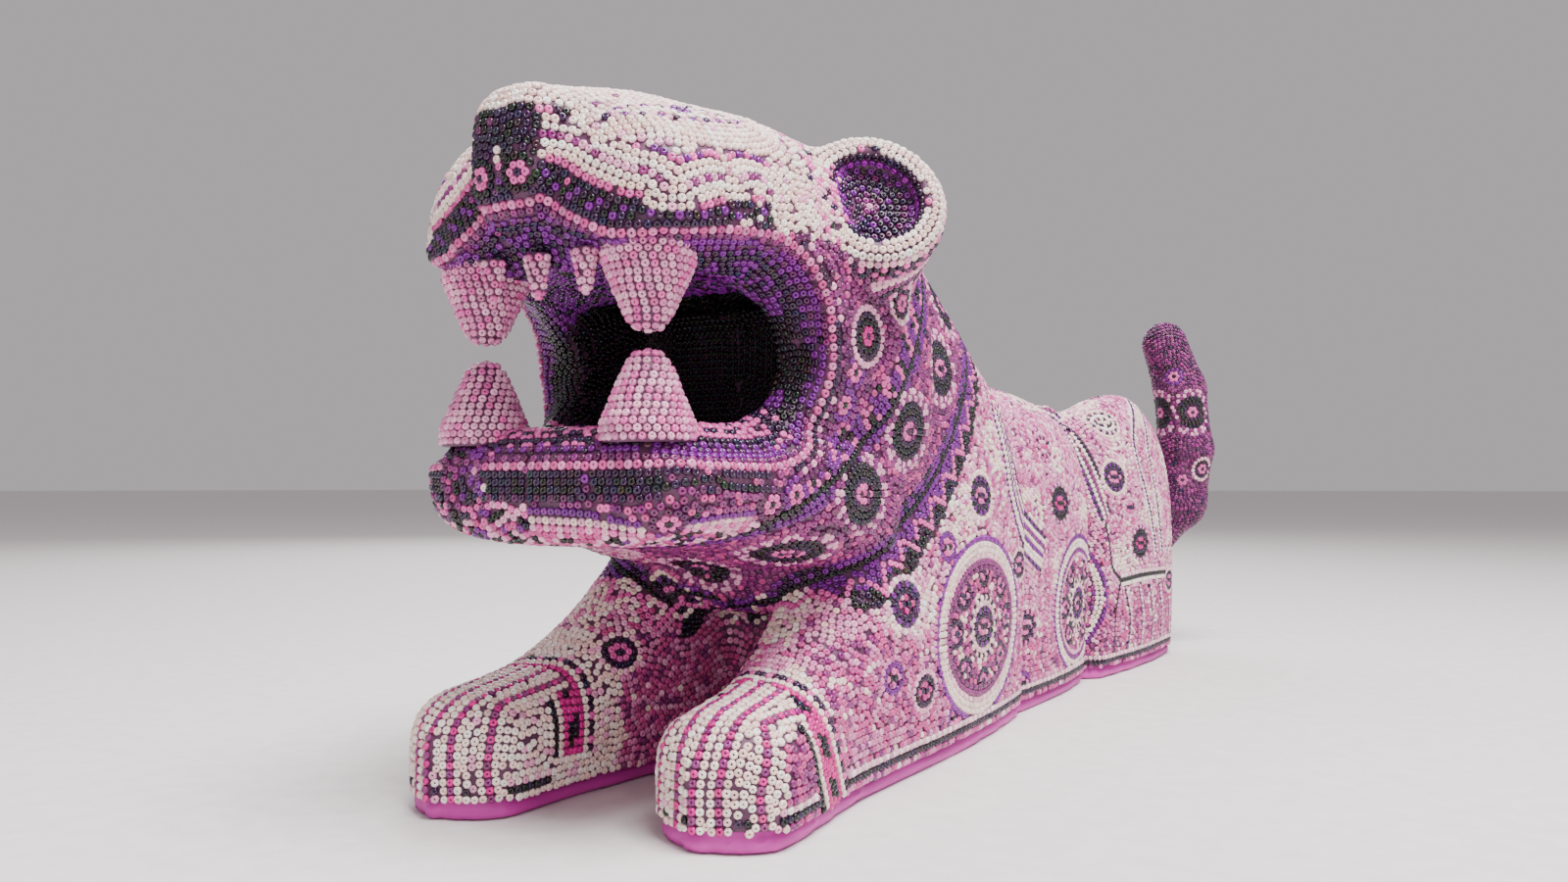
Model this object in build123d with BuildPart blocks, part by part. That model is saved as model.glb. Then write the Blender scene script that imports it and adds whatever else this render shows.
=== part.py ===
from build123d import *
import os

# A lying, open-mouthed big cat: glued and dowelled wooden blocks under a coat of wax and glass
# beads. Millimetres. It faces -Y, its left side is +X, it lies on Z = 0, and the origin is at
# the bottom centre of its bounding box. Y values below count back from the front paws' line.

# Driving dimensions
MID_LENGTH = 230.5        # from the paws' line to the middle of the whole length
COAT = 3.0                # wax bed and beads together
SOLE = 4.5                # bare painted wood left below the coat, all round the base
SPINE_HEIGHT = 133.0
HEAD_TOP = 196.0
CHEEK_HALF_WIDTH = 56.0
TRUNK_HALF_WIDTH = 42.0

LIP_LOW = 97.0            # glue joint between head block and lower jaw, and the mouth's floor
LIP_HIGH = 153.0
MOUTH_BACK = 48.0         # rear of the mouth on the cheeks
MOUTH_CORNER = 25.0
THROAT_BACK = 84.0
THROAT_HALF_WIDTH = 36.0
THROAT_CORNER = 12.0
OPEN_AIR = 60.0           # how far the mouth's cutter runs out in front of the paws' line
GUM_LOW = 105.0
GUM_HIGH = 146.0
GUM_HALF_WIDTH = 40.0
LOWER_GUM_FRONT = -2.0
UPPER_GUM_FRONT = -11.0
GUM_BACK = 60.0
GUM_CORNER = 18.0

CANINE_X = 28.5
CANINE_Y = 2.0
CANINE_BASE_RADIUS = 11.5
CANINE_TIP_RADIUS = 4.5
CANINE_ROUNDING = 3.0
CANINE_PEG = 8.0          # how deep a canine's peg stands in the head or the jaw
CANINE_TIP_HIGH = 129.5
CANINE_TIP_LOW = 124.0
INCISOR_PITCH = 16.0
INCISOR_Y = -8.0

EAR_CENTRE = (58.5, 66.0, 173.0)     # middle of the left ear's open face
EAR_FACING = (0.6, -0.7, 0.38)
EAR_RADIUS = 21.5
EAR_CUP_RADIUS = 14.5
EAR_CUP_DEPTH = 5.0
EAR_LENGTH = 30.0

NOSE_HALF_WIDTH = 12.5
NOSE_TIP = -21.0

RIGHT_PAW_LEAD = 13.0     # the right forepaw lies this much further forward
SPINE_HALF_WIDTH = 14.0   # flat glue faces of the trunk plank, where the side blocks meet it
HEAD_BACK = 100.0         # flat glue face between head and neck
SHOULDER_END = 216.0      # glue faces along the animal, between the side blocks
FLANK_END = 316.0
RUMP = 440.0              # flat face that the tail is dowelled to
NECK_FOOT = (55.0, 59.0)  # y and z where the slanted glue face under the neck starts
NECK_FOOT_SLOPE = 0.51
DOWEL_RADIUS = 4.0
EAR_DOWEL_RADIUS = 3.0
TOOTH_PEG_RADIUS = 3.0
CRUMB = 60.0              # a cut-off smaller than this, in cubic millimetres, is carved away

SEATED = ("nose", "left_ear", "right_ear")      # pieces that stand on the head block

# Cross-sections of each block: y, centre x, half width, low z, high z, corner radius
TRUNK = [
    (96, 0, 30, 26, 84, 24),
    (125, 0, TRUNK_HALF_WIDTH - 2, 12, 112, 34),
    (175, 0, TRUNK_HALF_WIDTH, 5, SPINE_HEIGHT - 4, 36),
    (206, 0, TRUNK_HALF_WIDTH, 5, SPINE_HEIGHT + 3, 36),
    (240, 0, TRUNK_HALF_WIDTH - 1, 5, SPINE_HEIGHT, 36),
    (300, 0, TRUNK_HALF_WIDTH - 3, 5, SPINE_HEIGHT - 3, 34),
    (365, 0, TRUNK_HALF_WIDTH - 5, 5, SPINE_HEIGHT - 8, 32),
    (415, 0, TRUNK_HALF_WIDTH - 8, 5, SPINE_HEIGHT - 16, 28),
    (RUMP, 0, TRUNK_HALF_WIDTH - 16, 14, SPINE_HEIGHT - 34, 22),
]
NECK = [
    (90, 0, 53, 50, 193, 42),
    (125, 0, 52, 48, 188, 46),
    (160, 0, 48, 56, 168, 44),
    (200, 0, 40, 80, 148, 30),
    (225, 0, 26, 96, 132, 14),
]
HEAD = [
    (-14, 0, 34, 60, 177, 18),
    (-4, 0, 44, 60, 184, 24),
    (15, 0, 50, 60, 192, 30),
    (45, 0, CHEEK_HALF_WIDTH - 1, 60, HEAD_TOP, 34),
    (80, 0, CHEEK_HALF_WIDTH, 60, HEAD_TOP, 36),
    (112, 0, CHEEK_HALF_WIDTH - 6, 60, HEAD_TOP - 6, 38),
]
LOWER_JAW = [
    (-6, 0, 35, 84, 120, 5),
    (6, 0, 43, 79, 120, 7),
    (35, 0, 50, 75, 120, 9),
    (62, 0, CHEEK_HALF_WIDTH - 3, 64, 120, 12),
    (106, 0, CHEEK_HALF_WIDTH - 4, 60, 120, 13),
]
NOSE = [
    (NOSE_TIP, 0, 9, 167, 187, 6),
    (-15, 0, NOSE_HALF_WIDTH, 163, 192, 8),
    (2, 0, NOSE_HALF_WIDTH + 1, 160, 195, 8),
]
FORELEG = [
    (7, 38, 11, 0, 19, 8),
    (13, 38, 17, 0, 28, 12),
    (27, 38, 20, 0, 33, 15),
    (46, 36.5, 19, 0, 39, 16),
    (66, 35, 18.5, 0, 54, 17),
    (95, 33, 20, 0, 73, 17),
    (130, 31, 23, 0, 107, 20),
    (170, 28, 24, 0, 125, 22),
    (204, 27, 23, 0, 131, 22),
    (230, 26, 21, 0, 126, 18),
]
FLANK = [
    (206, 26, 19, 0, 122, 17),
    (232, 26, 20, 0, 126, 18),
    (266, 26, 21, 0, 126, 18),
    (298, 25, 20, 0, 120, 17),
    (322, 24, 17, 0, 106, 15),
]
HAUNCH = [
    (312, 27, 15, 0, 92, 13),
    (334, 28, 19, 0, 116, 17),
    (362, 29, 22, 0, 131, 20),
    (394, 29, 23, 0, 138, 21),
    (422, 28, 22, 0, 129, 20),
    (RUMP, 26, 16, 0, 98, 14),
]
# Tail: centre and radius of each round section, from the rump round to the raised tip
TAIL = [
    ((0, 426, 70), 16),
    ((12, 448, 64), 16),
    ((29, 463, 66), 15.5),
    ((45.5, 467, 84), 15),
    ((50.5, 465, 112), 14),
    ((49, 461, 146), 13),
    ((42, 456, 176), 11.5),
]


def across(y):
    """The plane square to the animal's length, y back from the paws' line."""
    return Plane.XZ.offset(MID_LENGTH - y)


def at(x, y, z):
    """A point of the animal, in the part's frame."""
    return (x, y - MID_LENGTH, z)


def carved_section(half, tall, corner, standing):
    """A section with each corner cut as a carver rounds it, but square where it stands."""
    soft = corner * (1 - 0.5 ** 0.5)
    quarter = [(half, tall - corner), (half - soft, tall - soft), (half - corner, tall)]
    top = quarter + [(-x, z) for x, z in reversed(quarter)]
    foot = [(-half, -tall), (half, -tall)] if standing else [(-x, -z) for x, z in top]
    Polygon(*top, *foot, align=None)


def block(stations, inset=0.0):
    """A carved block through its sections; a section on the floor stays on the floor."""
    with BuildPart() as body:
        last = len(stations) - 1
        for n, (y, x, half, low, high, corner) in enumerate(stations):
            back = inset if n == 0 else -inset if n == last else 0.0
            floor = low + inset if low > 0 else 0.0
            roof = high - inset
            tall = (roof - floor) / 2
            with BuildSketch(across(y + back)):
                with Locations((x, (floor + roof) / 2)):
                    rounding = min(corner, half - inset - 1, tall - 1)
                    carved_section(half - inset, tall, rounding, low == 0)
        loft(ruled=True)
    return body.part


def tail_form(inset=0.0):
    """The curved tail, lofted through round sections square to its run."""
    with BuildPart() as body:
        for n, (centre, radius) in enumerate(TAIL):
            before = Vector(*TAIL[max(n - 1, 0)][0])
            after = Vector(*TAIL[min(n + 1, len(TAIL) - 1)][0])
            run = (after - before).normalized()
            back = inset if n == 0 else -inset if n == len(TAIL) - 1 else 0.0
            middle = Vector(*at(*centre)) + run * back
            with BuildSketch(Plane(origin=middle, x_dir=(1, -0.35, 0), z_dir=run)):
                Circle(radius - inset)
        loft()
        split(bisect_by=across(RUMP), keep=Keep.BOTTOM)
    return body.part


def mouth(inset=0.0):
    """The opening between the jaws, right through both cheeks, with a deeper throat."""
    high = LIP_HIGH + inset
    low = LIP_LOW
    rear = MOUTH_BACK + inset
    front = -OPEN_AIR
    with BuildPart() as space:
        with BuildSketch(Plane.YZ):
            with Locations(((front + rear) / 2 - MID_LENGTH, (low + high) / 2)):
                RectangleRounded(rear - front, high - low, MOUTH_CORNER)
        extrude(amount=2 * CHEEK_HALF_WIDTH, both=True)
        with BuildSketch(across(-OPEN_AIR)):
            with Locations((0, (GUM_LOW + GUM_HIGH) / 2)):
                half = THROAT_HALF_WIDTH + inset
                RectangleRounded(2 * half, GUM_HIGH - GUM_LOW + 2 * inset, THROAT_CORNER)
        extrude(amount=-(THROAT_BACK + inset + OPEN_AIR))
    return space.part


def ear_plane(side, depth=0.0):
    """The plane of an ear's open face, or one deeper into the head."""
    x, y, z = EAR_CENTRE
    facing = Vector(side * EAR_FACING[0], EAR_FACING[1], EAR_FACING[2]).normalized()
    middle = Vector(*at(side * x, y, z)) - facing * depth
    return Plane(origin=middle, x_dir=(EAR_FACING[1] * -side, -EAR_FACING[0], 0), z_dir=facing)


def ear_form(side, inset=0.0):
    """A short round cup; its beadwork stands proud of the wood by the inset."""
    with BuildPart() as cup:
        with BuildSketch(ear_plane(side, inset)):
            Circle(EAR_RADIUS - inset)
        extrude(amount=-(EAR_LENGTH - inset), taper=6)
        with BuildSketch(ear_plane(side, inset)):
            Circle(EAR_CUP_RADIUS)
        extrude(amount=-EAR_CUP_DEPTH, mode=Mode.SUBTRACT)
    return cup.part


def touches(one, other):
    """True where the boxes round two forms overlap."""
    a = one.bounding_box()
    b = other.bounding_box()
    clear_x = a.max.X < b.min.X or b.max.X < a.min.X
    clear_y = a.max.Y < b.min.Y or b.max.Y < a.min.Y
    clear_z = a.max.Z < b.min.Z or b.max.Z < a.min.Z
    return not (clear_x or clear_y or clear_z)


def without(form, others):
    """The form less every other one that it meets."""
    with BuildPart() as rest:
        add(form)
        for other in others:
            if touches(form, other):
                add(other, mode=Mode.SUBTRACT)
    return rest.part


def sawn(form, *cuts):
    """The form cut to its glue faces; each cut is a plane and the side that stays."""
    with BuildPart() as rest:
        add(form)
        for plane, side in cuts:
            split(bisect_by=plane, keep=side)
    return rest.part


def solids_of(form):
    """The form's solids, without any crumb a cut has left."""
    return [solid for solid in form.solids() if solid.volume > CRUMB]


def rod(start, end, radius):
    """A round wooden dowel between two points of the animal."""
    tip = Vector(*at(*end))
    foot = Vector(*at(*start))
    with BuildPart() as dowel:
        with BuildSketch(Plane(origin=foot, z_dir=tip - foot)):
            Circle(radius)
        extrude(amount=(tip - foot).length)
    return dowel.part


def mirrored(stations, lead=0.0):
    """The right-hand block's sections; the lead fades out from the first to the last."""
    first = stations[0][0]
    span = stations[-1][0] - first
    return [(y - lead * (1 - (y - first) / span), -x, half, low, high, corner)
            for y, x, half, low, high, corner in stations]


def canine(side, base, tip, peg):
    """A blunt cone with a peg into the gum; base, tip and peg are heights."""
    rise = 1 if tip > base else -1
    with BuildPart() as tooth:
        with BuildSketch(Plane(origin=at(side * CANINE_X, CANINE_Y, base), z_dir=(0, 0, rise))):
            Circle(CANINE_BASE_RADIUS)
        with BuildSketch(Plane(origin=at(side * CANINE_X, CANINE_Y, tip), z_dir=(0, 0, rise))):
            Circle(CANINE_TIP_RADIUS)
        loft()
        fillet(tooth.faces().sort_by(Axis.Z)[-1 if rise > 0 else 0].edges(), CANINE_ROUNDING)
        with BuildSketch(Plane(origin=at(side * CANINE_X, CANINE_Y, base), z_dir=(0, 0, -rise))):
            Circle(TOOTH_PEG_RADIUS)
        extrude(amount=abs(peg - base))
    return tooth.part


def incisor(x):
    """A small hooked tooth under the front of the upper jaw."""
    with BuildPart() as tooth:
        with BuildSketch(across(INCISOR_Y - 2)):
            with BuildLine():
                Spline(at_front(x, -3.5, 4), at_front(x, -2.5, -1), at_front(x, 2.5, -7))
                Spline(at_front(x, 2.5, -7), at_front(x, 3.2, -2), at_front(x, 3.5, 4))
                Line(at_front(x, 3.5, 4), at_front(x, -3.5, 4))
            make_face()
        extrude(amount=-4)
    return tooth.part


def at_front(x, dx, dz):
    """A point of an incisor's outline, from the middle of its root at the gum."""
    return (x + dx, GUM_HIGH + dz)


def gum(front, low, high):
    """A ridge inside the lips that the teeth stand in."""
    with BuildPart() as ridge:
        with BuildSketch(Plane.XY.offset(low)):
            with Locations(at(0, (front + GUM_BACK) / 2, 0)[:2]):
                RectangleRounded(2 * GUM_HALF_WIDTH, GUM_BACK - front, GUM_CORNER)
        extrude(amount=high - low)
    return ridge.part


def both_sides(start, end, radius=DOWEL_RADIUS):
    """A left and a right dowel; start and end are given for the left one."""
    return [rod((side * start[0], *start[1:]), (side * end[0], *end[1:]), radius)
            for side in (1, -1)]


def ear_dowel(side):
    """The dowel along an ear's own axis."""
    with BuildPart() as dowel:
        with BuildSketch(ear_plane(side, EAR_CUP_DEPTH + COAT + 1)):
            Circle(EAR_DOWEL_RADIUS)
        extrude(amount=-EAR_LENGTH)
    return dowel.part


def side_cuts(side, front, back):
    """Glue faces of a leg, flank or haunch block: against the trunk and its neighbours."""
    inward = Plane.YZ.offset(side * SPINE_HALF_WIDTH)
    cuts = [(inward, Keep.TOP if side > 0 else Keep.BOTTOM)]
    if front:
        cuts.append((across(front), Keep.BOTTOM))
    else:
        cuts.append((NECK_FACE, Keep.BOTTOM))
    if back:
        cuts.append((across(back), Keep.TOP))
    return cuts


# Flat faces and hollows that shape more than one block
JAW_FACE = Plane.XY.offset(LIP_LOW)
NECK_FACE = Plane(origin=at(0, *NECK_FOOT), z_dir=(0, -NECK_FOOT_SLOPE, 1))
MOUTH = mouth()
INNER_MOUTH = mouth(COAT)
with BuildPart() as sole_slab:
    with BuildSketch(Plane.XY):
        Rectangle(400, 800)
    extrude(amount=SOLE)
with BuildPart() as jaw_top:
    with BuildSketch(Plane.XY.offset(LIP_LOW)):
        with Locations(at(0, MOUTH_BACK - 50, 0)[:2]):
            Rectangle(160, 100)
    extrude(amount=-COAT)


def forms(inset):
    """Every block's form: inset for the bare wood, or 0 for the surface of the beadwork."""
    head = without(block(HEAD, inset), [INNER_MOUTH if inset else MOUTH])
    jaw = block(LOWER_JAW, inset)
    if inset:
        jaw = without(jaw, [jaw_top.part])
    keep_front = (across(HEAD_BACK), Keep.TOP)
    spine = [(Plane.YZ.offset(SPINE_HALF_WIDTH), Keep.BOTTOM),
             (Plane.YZ.offset(-SPINE_HALF_WIDTH), Keep.TOP)]
    made = {
        "trunk": sawn(block(TRUNK, inset), (NECK_FACE, Keep.BOTTOM), *spine),
        "neck": sawn(block(NECK, inset), (NECK_FACE, Keep.TOP), (across(HEAD_BACK), Keep.BOTTOM)),
        "head": sawn(head, keep_front, (JAW_FACE, Keep.TOP)),
        "lower_jaw": sawn(jaw, keep_front, (JAW_FACE, Keep.BOTTOM), (NECK_FACE, Keep.TOP)),
        "nose": block(NOSE, inset),
        "tail": tail_form(inset),
    }
    for side, word, lead in ((1, "left", 0.0), (-1, "right", RIGHT_PAW_LEAD)):
        leg, flank, haunch = FORELEG, FLANK, HAUNCH
        if side < 0:
            leg, flank, haunch = mirrored(FORELEG, lead), mirrored(FLANK), mirrored(HAUNCH)
        leg_cuts = side_cuts(side, None, SHOULDER_END)
        made[word + "_foreleg"] = sawn(block(leg, inset), *leg_cuts)
        flank_cuts = side_cuts(side, SHOULDER_END, FLANK_END)
        made[word + "_flank"] = sawn(block(flank, inset), *flank_cuts)
        made[word + "_haunch"] = sawn(block(haunch, inset), *side_cuts(side, FLANK_END, None))
        made[word + "_ear"] = ear_form(side, inset)
    return made


outer = forms(0.0)
inner = forms(COAT)

teeth = {
    "upper_left_canine": canine(1, GUM_HIGH, CANINE_TIP_HIGH, LIP_HIGH + CANINE_PEG),
    "upper_right_canine": canine(-1, GUM_HIGH, CANINE_TIP_HIGH, LIP_HIGH + CANINE_PEG),
    "lower_left_canine": canine(1, GUM_LOW, CANINE_TIP_LOW, LIP_LOW - CANINE_PEG),
    "lower_right_canine": canine(-1, GUM_LOW, CANINE_TIP_LOW, LIP_LOW - CANINE_PEG),
    "left_incisor": incisor(INCISOR_PITCH),
    "middle_incisor": incisor(0.0),
    "right_incisor": incisor(-INCISOR_PITCH),
}
dowels = {
    "head_dowels": both_sides((16, 90, 158), (16, 120, 158)),
    "jaw_dowels": both_sides((45, 74, 84), (45, 74, 112)),
    "neck_dowels": both_sides((8, 165, 136), (8, 165, 96)),
    "tail_dowel": [rod((-4, 408, 72), (12, 452, 65), DOWEL_RADIUS)],
    "foreleg_dowels": both_sides((4, 130, 60), (30, 130, 60)) + both_sides((4, 190, 60), (30, 190, 60)),
    "flank_dowels": both_sides((4, 262, 60), (28, 262, 60)),
    "haunch_dowels": both_sides((4, 350, 60), (30, 350, 60)) + both_sides((4, 395, 60), (30, 395, 60)),
    "ear_dowels": [ear_dowel(1), ear_dowel(-1)],
}
pins = [pin for group in dowels.values() for pin in group] + list(teeth.values())

# The wood: bare at the sole, and seated against the head where it stands on it
wood = {}
for name, form in inner.items():
    if outer[name].bounding_box().min.Z < SOLE / 2:
        form = form + (outer[name] & sole_slab.part)
    if name in SEATED:
        form = without(form, [inner["head"]])
    wood[name] = without(form, pins)

# The beadwork: wax and beads over the wood, down to the sole
beadwork = {}
for name, form in outer.items():
    cuts = [sole_slab.part, inner[name]] + pins
    if name in SEATED:
        cuts.append(outer["head"])
    if name == "head":
        cuts += [inner[seated] for seated in SEATED]
    beadwork[name] = without(form, cuts)

pieces = {name + "_block": solids_of(form) for name, form in wood.items()}
pieces.update({name + "_beadwork": solids_of(form) for name, form in beadwork.items()})
lower_gum = gum(LOWER_GUM_FRONT, LIP_LOW, GUM_LOW)
upper_gum = gum(UPPER_GUM_FRONT, GUM_HIGH, LIP_HIGH)
pieces["lower_gum"] = solids_of(without(lower_gum, [outer["head"]] + pins))
pieces["upper_gum"] = solids_of(without(upper_gum, [outer["head"]] + pins))
pieces.update({name: solids_of(tooth) for name, tooth in teeth.items()})
for name, group in dowels.items():
    pieces[name] = [solid for pin in group for solid in solids_of(pin)]

os.makedirs("parts", exist_ok=True)
for name, solids in pieces.items():
    with BuildPart() as piece:
        add(solids)
    piece.part.label = name
    export_step(piece.part, f"parts/{name}.step")
    print(name, len(solids), round(sum(solid.volume for solid in solids)), piece.part.is_valid)
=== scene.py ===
"""A beaded big cat: a coat of wax over carved blocks, set all over with glass beads in rows and rings."""
import math
import bpy
import numpy as np
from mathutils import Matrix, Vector
from mathutils.kdtree import KDTree


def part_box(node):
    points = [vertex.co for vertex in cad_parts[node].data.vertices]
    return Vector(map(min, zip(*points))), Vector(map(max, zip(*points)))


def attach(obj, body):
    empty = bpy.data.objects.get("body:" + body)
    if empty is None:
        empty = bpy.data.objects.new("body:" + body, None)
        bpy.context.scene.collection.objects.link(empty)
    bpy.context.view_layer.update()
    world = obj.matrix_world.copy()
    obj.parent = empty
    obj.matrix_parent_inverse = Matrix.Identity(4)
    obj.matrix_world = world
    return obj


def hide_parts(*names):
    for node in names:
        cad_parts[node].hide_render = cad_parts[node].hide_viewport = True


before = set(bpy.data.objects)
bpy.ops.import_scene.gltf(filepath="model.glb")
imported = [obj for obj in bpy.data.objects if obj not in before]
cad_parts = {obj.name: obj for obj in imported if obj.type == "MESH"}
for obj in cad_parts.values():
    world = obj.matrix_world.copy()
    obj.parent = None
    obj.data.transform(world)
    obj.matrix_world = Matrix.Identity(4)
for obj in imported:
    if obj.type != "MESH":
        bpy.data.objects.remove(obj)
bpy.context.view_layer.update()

# The coat is sculpted in millimetres. y runs back from the line where the paws start.
MIDDLE_Y = 230.5       # from the paws' line back to the frame's origin
CELL = 2.0             # grid of the sculpted surface
PITCH = 2.3            # bead to bead along a row
ROW = 2.06             # row to row
TIGHT = 0.8            # the closest two beads come, in pitches
LOOSE = 0.86           # the same, for beads in the gaps between rows
SNUG = 0.73            # the same, for small beads in the last gaps
BARE = 5.2             # painted sole, without beads
FOOTING = 0.5          # how little the standing forms draw in towards the floor
BEADS_A_PIECE = 3400   # most beads in one piece, to keep each piece light; keeps each piece under the export's limit of triangles
COAT = 2.2             # wax between the wood and the skin
SOLE_INSET = 0.1       # the same, at the sole
WAX_THICKNESS = 1.5
BLOCK_GAP = 0.15       # half of the glue line between two blocks
RIGHT_LEAD = 13.0      # the right paw reaches further forward
CHANCE = np.random.default_rng(11)


# ---------------------------------------------------------------- distance fields

def soft_min(a, b, width):
    """Union of two fields with a rounded joint."""
    t = np.clip(0.5 + 0.5 * (b - a) / width, 0, 1)
    return b * (1 - t) + a * t - width * t * (1 - t)


def soft_max(a, b, width):
    """Common part of two fields with a rounded edge."""
    return -soft_min(-a, -b, width)


def smooth(t):
    """Eases from 0 to 1."""
    t = np.clip(t, 0, 1)
    return t * t * (3 - 2 * t)


def profile(at, knots, values):
    """A smooth curve through the values, which doesn't overshoot."""
    steps = np.diff(knots)
    slopes = np.diff(values) / steps
    ends = np.concatenate([slopes[:1], slopes[-1:]])
    both = slopes[:-1] * slopes[1:]
    inner = np.where(both > 0, 2 * both / (slopes[:-1] + slopes[1:] + (both <= 0)), 0)
    tangents = np.concatenate([ends[:1], inner, ends[1:]])
    at = np.clip(at, knots[0], knots[-1])
    i = np.clip(np.searchsorted(knots, at, side="right") - 1, 0, len(knots) - 2)
    h = steps[i]
    t = (at - knots[i]) / h
    rise = t * t * (3 - 2 * t)
    leave = t * (1 - t) ** 2 * h * tangents[i]
    arrive = t * t * (t - 1) * h * tangents[i + 1]
    return values[i] * (1 - rise) + values[i + 1] * rise + leave + arrive


def rounded(u, v, half_u, half_v, power):
    """Distance to a superellipse, close to its edge."""
    a = np.abs(u) / half_u + 1e-6
    b = np.abs(v) / half_v + 1e-6
    size = (a ** power + b ** power) ** (1 / power)
    slope = np.hypot(a ** (power - 1) / half_u, b ** (power - 1) / half_v) * size ** (1 - power)
    return (size - 1) / np.maximum(slope, 1e-6)


def lofted(p, stations, power, nose, tail):
    """A body along y through stations of y, middle x, half width, lowest z and highest z."""
    x, y, z = p
    table = np.array(stations, float)
    middle, half, low, high = (profile(y, table[:, 0], table[:, k]) for k in (1, 2, 3, 4))
    front, back = table[0, 0], table[-1, 0]
    end = np.maximum(np.clip((front + nose - y) / nose, 0, 1), np.clip((y - back + tail) / tail, 0, 1))
    ease = 1 - np.sqrt(1 - end * end)
    reach = np.where(y < (front + back) / 2, nose, tail)
    shrink = ease * np.minimum(0.98 * np.minimum(half, (high - low) / 2), reach)
    half = np.maximum(half - ease * np.minimum(half, max(nose, tail)) - shrink, 0.6)
    high = high - shrink
    low = np.where(low <= 0, low, low + shrink)
    tall = np.maximum((high - low) / 2, 0.6)
    rise = z - (low + high) / 2
    rise = np.where((low <= 0) & (rise < 0), rise * FOOTING, rise)
    field = rounded(x - middle, rise, half, tall, power)
    return np.maximum(field, np.maximum(front - y, y - back))


def egg(p, centre, radii, power):
    """A superellipsoid."""
    a, b, c = (np.abs((p[k] - centre[k]) / radii[k]) + 1e-6 for k in range(3))
    size = (a ** power + b ** power + c ** power) ** (1 / power)
    slopes = [(q ** (power - 1) / r) ** 2 for q, r in zip((a, b, c), radii)]
    return (size - 1) / (np.sqrt(slopes[0] + slopes[1] + slopes[2]) * size ** (1 - power))


def chain(p, points, radii):
    """Round cones from point to point."""
    field = None
    for a, b, ra, rb in zip(points[:-1], points[1:], radii[:-1], radii[1:]):
        a = np.array(a, float)
        run = np.array(b, float) - a
        away = [p[k] - a[k] for k in range(3)]
        t = np.clip((away[0] * run[0] + away[1] * run[1] + away[2] * run[2]) / run.dot(run), 0, 1)
        gap = np.sqrt(sum((away[k] - t * run[k]) ** 2 for k in range(3))) - (ra + (rb - ra) * t)
        field = gap if field is None else soft_min(field, gap, 4.0)
    return field


# ---------------------------------------------------------------- the animal's form
# Stations: y, middle x, half width, lowest z, highest z. Every other number here is in the same millimetres.

HEAD = [(-16, 0, 40, 125, 182), (0, 0, 46, 110, 188), (20, 0, 51, 97, 194), (45, 0, 55, 90, 197),
        (75, 0, 56, 84, 197), (105, 0, 53, 80, 194), (128, 0, 46, 86, 184)]
JAW = [(-10, 0, 42, 76, 112), (10, 0, 48, 75, 112), (35, 0, 51, 73, 112), (65, 0, 54, 66, 112),
       (105, 0, 52, 62, 112)]
NECK = [(62, 0, 48, 56, 170), (90, 0, 53, 50, 190), (120, 0, 52, 46, 188), (155, 0, 49, 52, 172),
        (190, 0, 45, 60, 150), (225, 0, 38, 70, 137)]
TRUNK = [(92, 0, 34, 22, 92), (125, 0, 40, 10, 118), (175, 0, 44, 4, 134), (225, 0, 42, 4, 136),
         (280, 0, 40, 4, 134), (330, 0, 38, 4, 129), (375, 0, 36, 4, 126), (415, 0, 34, 4, 120),
         (441, 0, 28, 8, 104)]
FORELEG = [(6, 39, 19, 0, 30), (24, 39, 19.5, 0, 33), (42, 38, 18.5, 0, 37), (64, 35.5, 18, 0, 50),
           (92, 33.5, 19.5, 0, 76), (126, 31, 22, 0, 104), (165, 28, 23.5, 0, 124), (200, 26, 22, 0, 128),
           (226, 24, 20, 0, 120)]
FLANK = [(208, 24, 19, 0, 118), (236, 24, 20.5, 0, 125), (270, 23.5, 21, 0, 125), (300, 22, 20, 0, 118),
         (322, 20, 18, 0, 104)]
HAUNCH = [(310, 25, 20, 0, 112), (336, 27, 21, 0, 124), (365, 28.5, 22.5, 0, 134), (394, 29, 23, 0, 138),
          (420, 29, 22.5, 0, 131), (443, 27, 21, 0, 112)]
TAIL = [(0, 426, 70), (12, 448, 64), (29, 462, 66), (45, 467, 82), (50.5, 465, 112), (49, 461, 146),
        (42, 456, 172)]
TAIL_RADII = [15, 15.5, 15.5, 15, 14.2, 13, 11.5]
SHOULDER_END = 226.0   # the right foreleg's lead has faded out here
LIP_OUTLINE = [(y, 0, half, -200, 450) for y, half in
               ((-14, 42), (0, 46), (20, 51), (45, 54), (75, 56), (110, 53))]
EAR = np.array([58.5, 66.0, 173.0])
EAR_WAY = np.array([0.6, -0.7, 0.38]) / np.linalg.norm([0.6, -0.7, 0.38])
EAR_RADIUS = 22.0
EAR_LENGTH = 30.0
CUP_RADIUS = 14.5
CUP_DEPTH = 6.0
NOSE = (0.0, -9.5, 174.5)
NOSE_HALF = (13.0, 12.5, 17.0)
MOUTH_BACK = 50.0
MOUTH_ROUND = 25.0     # radius of the mouth's corners
LIP_LOW = 95.5
LIP_HIGH = 153.5
LIP_ARCH = (5.5, 15)   # the upper lip's rise under the nose: height, width
LIP_HANG = (3.5, 31, 9)  # its dip at each canine: depth, place, width
LOWER_GUM = 17         # width of the slope from the lip up to the gum
UPPER_GUM = 14
MOUTH_REACH = 0.9      # skin this near the mouth's hollow, this deep in and this far forward lines it
LIP_DEPTH = 2.5
MOUTH_END = 92
THROAT = ((26, 74, 10), 126, 10)  # half width, back and half height, middle height, rounding
FLOOR = 106.0          # top of the lower gum
ROOF = 146.0           # bottom of the upper gum
TOOTH_ROOT = 5.0       # how far a canine runs on into its gum
LEG_REACH = 220.0      # from the paws to where the lead has faded out


def lead(y):
    """How far the right foreleg stands ahead of the left one."""
    return RIGHT_LEAD * np.clip((SHOULDER_END - y) / LEG_REACH, 0, 1.06)


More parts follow.
